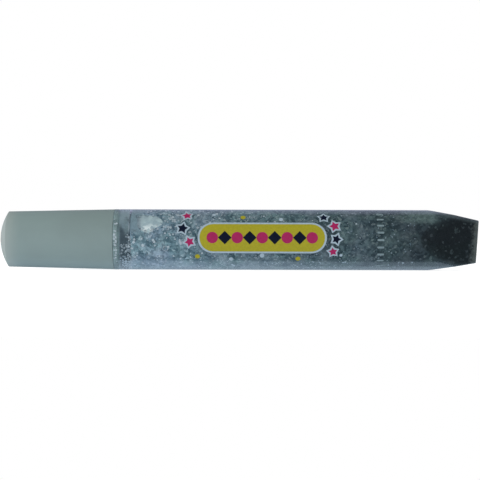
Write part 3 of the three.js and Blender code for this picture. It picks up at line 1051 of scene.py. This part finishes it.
def layFlake(x, around, reach, size, leaning, tone, shape=flakeShape, thick=flakes["thick"]):
    if keptClear(x, around):
        return
    calm = calmLook["share"] * min(1, max(0, -(math.cos(around) + calmLook["from"]) / calmLook["over"]))
    tone = between(calm, tone, calmLook["tone"])
    place = Matrix.Translation((x, 0, axisZ)) @ Matrix.Rotation(around, 4, "X")
    place = place @ Matrix.Translation((0, 0, reach * mm)) @ Matrix.Rotation(anyTurn(), 4, "Z")
    place = place @ Matrix.Rotation(leaning, 4, "X")
    first = len(verts)
    for co in shape[0]:
        verts.append(place @ Vector((co.x * size * mm, co.y * size * mm, co.z * thick * mm)))
    faces.extend(tuple(first + k for k in face) for face in shape[1])
    tones.extend([tone] * len(shape[1]))


firstX, lastX = height(flakes["from"]), tailX - flakes["tailFree"] * mm
while len(tones) < flakes["count"] * len(flakeShape[1]):
    share = dice.random()
    if dice.random() > 1 - (1 - flakes["tailLeft"]) * share:
        continue
    tone = dice.random() ** flakes["toneBunch"] * (1 - flakes["toneFade"] * share)
    layFlake(between(share, firstX, lastX), anyTurn(), dice.uniform(*flakes["reach"]),
             dice.uniform(*flakes["sizes"]), lean(flakes), tone)

# Larger bright flakes gather near the head
bright = {"count": 170, "from": -2.8, "long": 26, "bunch": 1.4, "reach": 6.49, "sizes": (0.2, 0.38),
          "tilt": 12, "tones": (0.8, 1)}
for i in range(bright["count"]):
    layFlake(bunched(bright), anyTurn(), bright["reach"], *drawn(bright))

# They are thickest beside the air bubble
cluster = {"count": 44, "middle": -12.6, "spread": 2.2, "turn": 38, "turnSpread": 16, "reach": 6.5,
           "sizes": (0.18, 0.36), "tilt": 10, "tones": (0.6, 1)}
for i in range(cluster["count"]):
    x = height(dice.gauss(cluster["middle"], cluster["spread"]))
    around = math.radians(front - dice.gauss(cluster["turn"], cluster["turnSpread"]))
    layFlake(x, around, cluster["reach"], *drawn(cluster))

# A few are scattered as far as the tail
specks = {"count": 36, "reach": 6.5, "sizes": (0.16, 0.28), "tilt": 10, "tones": (0.7, 1)}
for i in range(specks["count"]):
    layFlake(between(dice.random(), firstX, lastX), anyTurn(), specks["reach"], *drawn(specks))

# Glue that crept between the skirt and the sleeve
crept = {"count": 190, "from": -0.5, "long": 2.6, "bunch": 0.8, "turns": (100, 255), "reach": 6.49,
         "sizes": (0.14, 0.3), "tilt": 10, "tones": (0, 1), "toneBunch": 1.3}
for i in range(crept["count"]):
    layFlake(bunched(crept), math.radians(dice.uniform(*crept["turns"])), crept["reach"], *drawn(crept))

# Glue round the skirt's end, in a band that is wider underneath and has a wavy edge
collar = {"count": 260, "from": -3.3, "wide": 1.2, "wider": 0.8, "wave": 0.35, "waves": 5, "bunch": 1.6,
          "reach": 6.49, "sizes": (0.14, 0.3), "tilt": 10, "tones": (0, 0.6)}
for i in range(collar["count"]):
    around = anyTurn()
    wavy = collar["wave"] * math.sin(collar["waves"] * around)
    band = collar["wide"] - collar["wider"] * math.cos(around) + wavy
    x = height(collar["from"] + band * dice.random() ** collar["bunch"])
    layFlake(x, around, collar["reach"], *drawn(collar))

# Flakes caught where the flange meets the sleeve
beads = {"count": 34, "heights": (0.1, 0.75), "turn": 2, "turnSpread": 20, "sizes": (0.12, 0.32), "tilt": 3,
         "tones": (0.5, 1)}
for i in range(beads["count"]):
    x = height(dice.uniform(*beads["heights"]))
    around = math.radians(front + dice.gauss(beads["turn"], beads["turnSpread"]))
    layFlake(x, around, sleeve["radius"], *drawn(beads))

# Small air bubbles show as pale rings: painted highlights on their rims
rings = {"count": 20, "from": -5, "long": 24, "bunch": 1.3, "reach": 6.46, "sizes": (0.28, 0.68), "tilt": 8,
         "tones": (0.45, 0.8)}
for i in range(rings["count"]):
    size = dice.uniform(*rings["sizes"])
    layFlake(bunched(rings), anyTurn(), rings["reach"], size, lean(rings), dice.uniform(*rings["tones"]),
             shape=ringShape, thick=size)

flakePiece.data.clear_geometry()
flakePiece.data.from_pydata(verts, [], faces)
flakePiece.data.update()
toneLayer = flakePiece.data.attributes.new("tone", "FLOAT", "FACE")
toneLayer.data.foreach_set("value", tones)
flakePiece.data.materials.append(makeFlake(flakeLook))
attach(flakePiece, "tube")
print("flakes", len(flakePiece.data.polygons))


# Room and light

# The floor shows white, keeps the shadow and fills in light from below. Gloss mirrors a bright stretch of it
# under the tube, dimmer along the middle.
floorLook = {"size": 6, "level": -0.03, "color": (0.6, 0.6, 0.6, 1), "roughness": 0.9, "seen": 0.72,
             "fill": 0.51, "fillTint": (0.95, 0.99, 1.13, 1), "mirror": (0.64, 0.82, 1.0, 1),
             "mirrorFar": 0.1, "mirrorUnder": 0.92, "underEdge": (4.7, 5.7), "underMiddle": (0.6, 3.2),
             "middleShare": 0.4}


def rays(place):    # whether light goes to the camera, to gloss or through something clear
    outputs = place.node("ShaderNodeLightPath").socket.node.outputs
    return [Shade(place.tree, outputs[f"Is {kind} Ray"]) for kind in ("Camera", "Glossy", "Transmission")]


def makeFloor(look):
    material, surface, place = newMaterial("floorWhite")
    seen, glossy, through = rays(place)
    mirrored = seen.maths("MAXIMUM", glossy, through)
    feed(place, surface, Base_Color=look["color"], Roughness=look["roughness"])
    level = look["seen"] * seen + look["fill"] * (1 - seen)
    tint = blendColor(seen, look["fillTint"], white)
    glow = place.node("ShaderNodeEmission", values={"Color": tint, "Strength": level})
    lit = place.node("ShaderNodeAddShader", values={0: Shade(place.tree, surface.outputs[0]), 1: glow})
    aside = place.maths("ABSOLUTE", axes(place)[1])
    middle = between(ramp(aside, look["underMiddle"], mm), look["middleShare"], 1)
    under = (1 - ramp(aside, look["underEdge"], mm)) * middle
    mirrorLevel = between(under, look["mirrorFar"], look["mirrorUnder"])
    mirror = place.node("ShaderNodeEmission", values={"Color": look["mirror"], "Strength": mirrorLevel})
    both = place.node("ShaderNodeMixShader", values={0: mirrored, 1: lit, 2: mirror})
    place.give(place.tree.nodes["Material Output"].inputs["Surface"], both)
    return material


selectNone()
bpy.ops.mesh.primitive_plane_add(size=floorLook["size"], location=(0, 0, floorLook["level"] * mm))
floorPiece = named("floor")
settle(floorPiece)
floorPiece.data.materials.append(makeFloor(floorLook))

# The sky shows white too. Its light is dimmer overhead than at the sides, and gloss mirrors a studio that is
# brighter behind the tube than in front. A pair is how far up, or back, a direction points, out of 1.
skyLook = {"softLow": 1.05, "softTop": 0.58, "softRise": (0.1, 0.85), "mirror": (0.66, 0.73, 1.0, 1),
           "mirrorFront": 0.1, "mirrorBehind": 0.43, "mirrorBack": (0.25, 0.6)}
world = bpy.data.worlds.new("studio")
bpy.context.scene.world = world
world.use_nodes = True
sky = world.node_tree
sky.nodes.clear()
start = Shade(sky)
_, skyY, skyZ = axes(start.node("ShaderNodeTexCoord", output="Generated"))
seen, glossy, through = rays(start)
seenSky = start.maths("MAXIMUM", seen, through)
mirrorSky = between(ramp(skyY, skyLook["mirrorBack"]), skyLook["mirrorFront"], skyLook["mirrorBehind"])
softSky = between(ramp(skyZ, skyLook["softRise"]), skyLook["softLow"], skyLook["softTop"])
level = seenSky + (1 - seenSky) * (glossy * mirrorSky + (1 - glossy) * softSky)
tint = blendColor(glossy, white, skyLook["mirror"])
background = start.node("ShaderNodeBackground", values={"Color": tint, "Strength": level})
start.give(sky.nodes.new("ShaderNodeOutputWorld").inputs["Surface"], background)

# One soft lamp beyond the cap's end, a little above and in front
lampLook = {"place": (-0.8, -0.16, 0.22), "target": (0, 0, axisZ), "size": 0.35, "power": 2.9,
            "color": (1, 0.95, 0.94)}
lampData = bpy.data.lights.new("sideLamp", "AREA")
lampData.shape = "DISK"
lampData.size = lampLook["size"]
lampData.energy = lampLook["power"]
lampData.color = lampLook["color"]
lamp = addObject("sideLamp", lampData)
aim = Vector(lampLook["target"]) - Vector(lampLook["place"])
lamp.matrix_world = Matrix.Translation(lampLook["place"]) @ aim.to_track_quat("-Z", "Y").to_matrix().to_4x4()
lamp.visible_glossy = False
bpy.context.scene.view_settings.view_transform = "Standard"
print("room lit")
